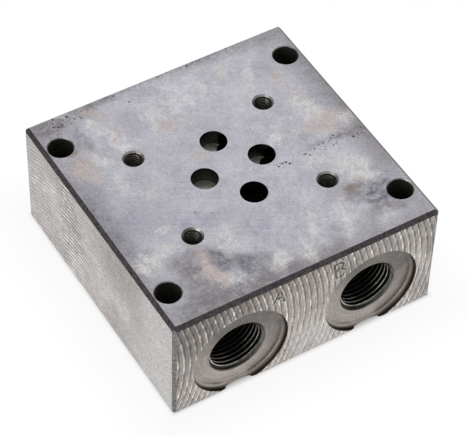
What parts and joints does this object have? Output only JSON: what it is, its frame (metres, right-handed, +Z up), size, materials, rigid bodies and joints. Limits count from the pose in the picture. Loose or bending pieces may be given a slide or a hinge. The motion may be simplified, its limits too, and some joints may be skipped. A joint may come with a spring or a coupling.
{
  "type": "hydraulic valve subplate",
  "caption": "Square steel block with a ground valve face, tapped screw holes, drilled ports, corner through holes and threaded side ports in round seats.",
  "frame": {"origin": "centre of the underside", "axes": "+Z up out of the valve face, +X along the front face with the work ports from A to B, +Y to the back face"},
  "size_m": [0.08, 0.08, 0.0347],
  "materials": {
    "steel": "ground top face, milled sides, dark chamfers"
  },
  "bodies": {
    "root": {"subplate_block": "steel"}
  },
  "joints": []
}
